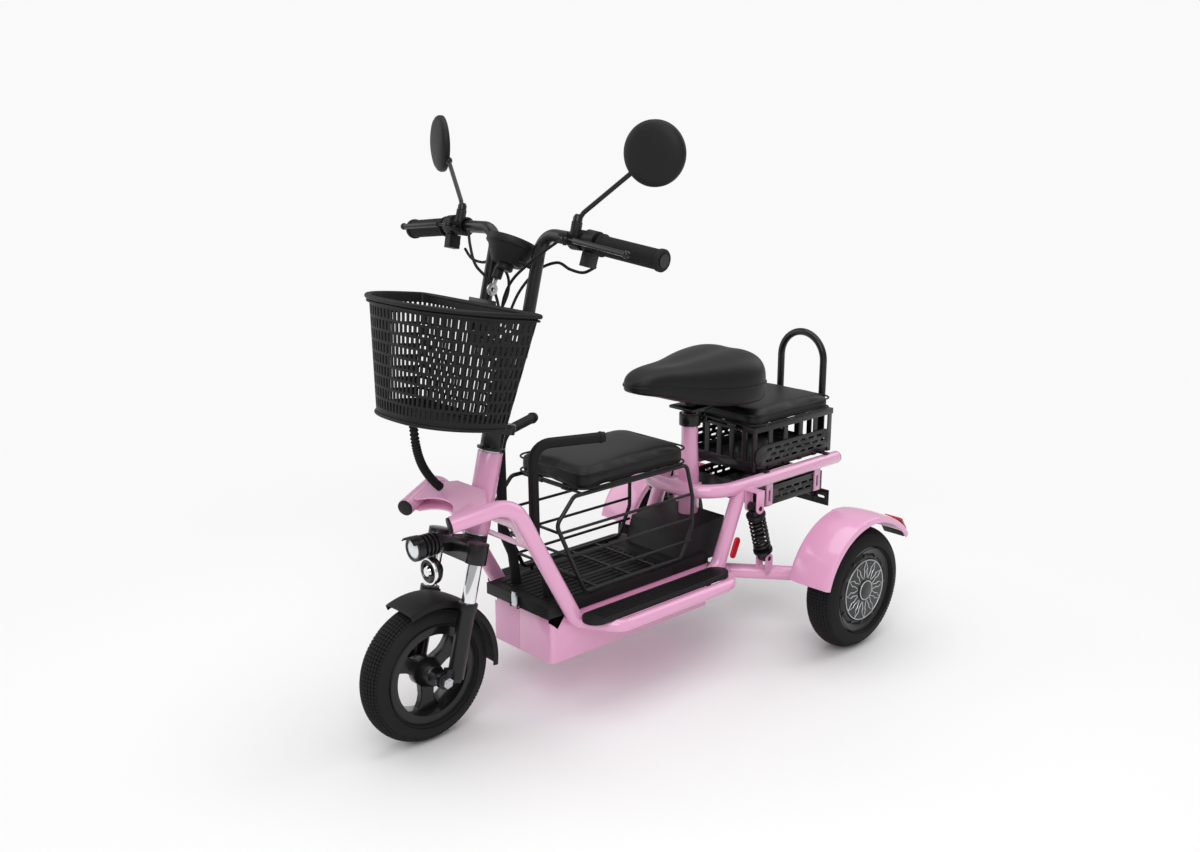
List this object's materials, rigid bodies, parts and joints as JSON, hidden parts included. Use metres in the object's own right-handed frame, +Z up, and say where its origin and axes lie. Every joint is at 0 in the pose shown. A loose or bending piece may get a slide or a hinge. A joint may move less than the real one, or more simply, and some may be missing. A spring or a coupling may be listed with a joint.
{
  "type": "three-wheeled electric scooter",
  "caption": "Step-through electric tricycle scooter with sprung fork and swingarm, child seat, saddle, front and rear baskets and mirrors.",
  "frame": {"origin": "on the floor, in the middle of the bounding box, under the vehicle", "axes": "+Z up, -Y forwards, +X to the rider's left"},
  "size_m": [0.672, 1.195, 1.0658],
  "materials": {
    "pink_paint": "gloss enamel",
    "black_paint": "satin powder coat",
    "black_plastic": "fine grain",
    "rubber": "matte",
    "tyre_rubber": "matte",
    "leatherette": "soft grain",
    "chrome": "polished",
    "steel": "satin",
    "aluminium": "cast",
    "black_alloy": "painted satin black",
    "red_lens": "clear red",
    "grey_plastic": "gloss",
    "red_plastic": "gloss"
  },
  "bodies": {
    "frame": {"head_frame": "pink_paint", "headset_bearings": "steel", "side_frames": "pink_paint", "footrest_pads": "black_plastic", "battery_case": "pink_paint", "battery_pack": "black_plastic", "motor_controller": "aluminium", "floor_lid": "black_plastic", "rear_cover": "black_plastic", "rear_frame": "pink_paint", "tube_end_caps": "black_plastic", "child_seat_frame": "black_paint", "child_grab_handles": "rubber", "seat_clamp": "black_paint", "rear_basket": "black_paint", "rear_tray": "black_paint", "reflectors": "red_lens", "wiring_hose": "rubber"},
    "lid_latch": {"lid_latch": "steel"},
    "child_cushion": {"child_cushion": "leatherette"},
    "rear_cushion": {"rear_cushion": "leatherette"},
    "saddle": {"seat_post": "black_paint", "saddle": "leatherette"},
    "steering": {"fork_crown": "black_paint", "stanchions": "chrome", "stem_clamp": "black_paint", "handlebar": "black_paint", "front_basket": "black_plastic", "basket_bracket": "black_paint", "instrument": "black_plastic", "lever_clamps": "black_plastic", "grip_left": "rubber", "headlight": "black_plastic", "horn": "black_paint", "control_cables": "rubber"},
    "ignition_key": {"ignition_key": "steel"},
    "throttle": {"throttle_grip": "rubber"},
    "lever_left": {"brake_lever_left": "black_paint"},
    "lever_right": {"brake_lever_right": "black_paint"},
    "mirror_stem_left": {"mirror_stem_left": "black_paint"},
    "mirror_stem_right": {"mirror_stem_right": "black_paint"},
    "mirror_left": {"mirror_head_left": "black_plastic"},
    "mirror_right": {"mirror_head_right": "black_plastic"},
    "turn_switch": {"turn_switch": "grey_plastic"},
    "horn_button": {"horn_button": "red_plastic"},
    "fork_lowers": {"fork_lowers": "black_paint", "front_fender": "black_plastic", "front_axle": "steel"},
    "front_wheel": {"front_wheel": "black_alloy", "front_tyre": "tyre_rubber"},
    "swingarm": {"swingarm": "pink_paint", "rear_fenders": "pink_paint", "tail_lamps": "red_lens"},
    "rear_wheel_left": {"rear_wheel_left": "black_alloy", "rear_tyre_left": "tyre_rubber"},
    "rear_wheel_right": {"rear_wheel_right": "black_alloy", "rear_tyre_right": "tyre_rubber"},
    "shock_bodies": {"shock_bodies": "black_paint", "shock_springs": "black_paint"},
    "shock_rods": {"shock_rods": "black_paint"}
  },
  "joints": [
    {"name": "steering", "type": "hinge", "parent": "frame", "child": "steering", "pos_m": [0, -0.349, 0.355], "axis": [0, 0.2419, 0.9703], "range_deg": [-35, 35]},
    {"name": "fork_slide", "type": "slide", "parent": "steering", "child": "fork_lowers", "axis": [0, 0.2419, 0.9703], "range_m": [0, 0.016], "stiffness_N_per_m": 9000, "springref_m": -0.03},
    {"name": "front_wheel_spin", "type": "hinge", "parent": "fork_lowers", "child": "front_wheel", "pos_m": [0, -0.47003, 0.1275], "axis": [1, 0, 0], "continuous": true},
    {"name": "swingarm_swing", "type": "hinge", "parent": "frame", "child": "swingarm", "pos_m": [0, 0.215, 0.15], "axis": [1, 0, 0], "range_deg": [0, 7], "stiffness_Nm_per_rad": 400, "springref_deg": -14.32},
    {"name": "shock_body_swing", "type": "hinge", "parent": "frame", "child": "shock_bodies", "pos_m": [0, 0.246, 0.3], "axis": [1, 0, 0], "range_deg": [-3, 3]},
    {"name": "shock_rod_swing", "type": "hinge", "parent": "swingarm", "child": "shock_rods", "pos_m": [0, 0.283, 0.184], "axis": [1, 0, 0], "range_deg": [-10, 3], "deforming": ["shock_springs"]},
    {"name": "rear_wheel_left_spin", "type": "hinge", "parent": "swingarm", "child": "rear_wheel_left", "pos_m": [0.273, 0.4035, 0.1275], "axis": [1, 0, 0], "continuous": true},
    {"name": "rear_wheel_right_spin", "type": "hinge", "parent": "swingarm", "child": "rear_wheel_right", "pos_m": [-0.273, 0.4035, 0.1275], "axis": [1, 0, 0], "continuous": true},
    {"name": "throttle_twist", "type": "hinge", "parent": "steering", "child": "throttle", "pos_m": [-0.165, -0.24261, 0.87264], "axis": [-0.9894, 0.0918, -0.1128], "range_deg": [0, 60], "stiffness_Nm_per_rad": 0.6, "springref_deg": -17.19},
    {"name": "brake_lever_left_pull", "type": "hinge", "parent": "steering", "child": "lever_left", "pos_m": [0.158, -0.27511, 0.87456], "axis": [0, 0.2419, 0.9703], "range_deg": [0, 6], "stiffness_Nm_per_rad": 3, "springref_deg": -8.59},
    {"name": "brake_lever_right_pull", "type": "hinge", "parent": "steering", "child": "lever_right", "pos_m": [-0.158, -0.27511, 0.87456], "axis": [0, -0.2419, -0.9703], "range_deg": [0, 6], "stiffness_Nm_per_rad": 3, "springref_deg": -8.59},
    {"name": "mirror_stem_left_turn", "type": "hinge", "parent": "steering", "child": "mirror_stem_left", "pos_m": [0.155, -0.24554, 0.90223], "axis": [0, 0.2419, 0.9703], "range_deg": [-25, 25]},
    {"name": "mirror_stem_right_turn", "type": "hinge", "parent": "steering", "child": "mirror_stem_right", "pos_m": [-0.155, -0.24554, 0.90223], "axis": [0, 0.2419, 0.9703], "range_deg": [-25, 25]},
    {"name": "mirror_left_tilt", "type": "hinge", "parent": "mirror_stem_left", "child": "mirror_left", "pos_m": [0.243, -0.20654, 0.98423], "axis": [1, 0, 0], "range_deg": [-8, 8]},
    {"name": "mirror_right_tilt", "type": "hinge", "parent": "mirror_stem_right", "child": "mirror_right", "pos_m": [-0.243, -0.20654, 0.98423], "axis": [1, 0, 0], "range_deg": [-8, 8]},
    {"name": "turn_switch_turn", "type": "hinge", "parent": "steering", "child": "turn_switch", "pos_m": [0.1829, -0.23655, 0.83825], "axis": [-0.1168, 0.9637, -0.2403], "range_deg": [-20, 20]},
    {"name": "horn_button_push", "type": "slide", "parent": "steering", "child": "horn_button", "axis": [-0.1168, -0.9637, 0.2403], "range_m": [0, 0.002], "stiffness_N_per_m": 300, "springref_m": -0.002},
    {"name": "ignition_key_turn", "type": "hinge", "parent": "steering", "child": "ignition_key", "pos_m": [-0.012, -0.28378, 0.79641], "axis": [0, 0.4384, 0.8988], "range_deg": [0, 90]},
    {"name": "saddle_height", "type": "slide", "parent": "frame", "child": "saddle", "axis": [0, 0, 1], "range_m": [0, 0.08]},
    {"name": "child_cushion_lift", "type": "hinge", "parent": "frame", "child": "child_cushion", "pos_m": [0, -0.171, 0.406], "axis": [1, 0, 0], "range_deg": [0, 8]},
    {"name": "rear_cushion_lift", "type": "hinge", "parent": "frame", "child": "rear_cushion", "pos_m": [0, 0.286, 0.441], "axis": [1, 0, 0], "range_deg": [0, 6]},
    {"name": "lid_latch_open", "type": "hinge", "parent": "frame", "child": "lid_latch", "pos_m": [0, -0.265, 0.192], "axis": [1, 0, 0], "range_deg": [0, 110]}
  ],
  "couplings": [
    {"joint": "shock_body_swing", "follows": "swingarm_swing", "ratio": -0.144},
    {"joint": "shock_rod_swing", "follows": "swingarm_swing", "ratio": -1.144}
  ]
}
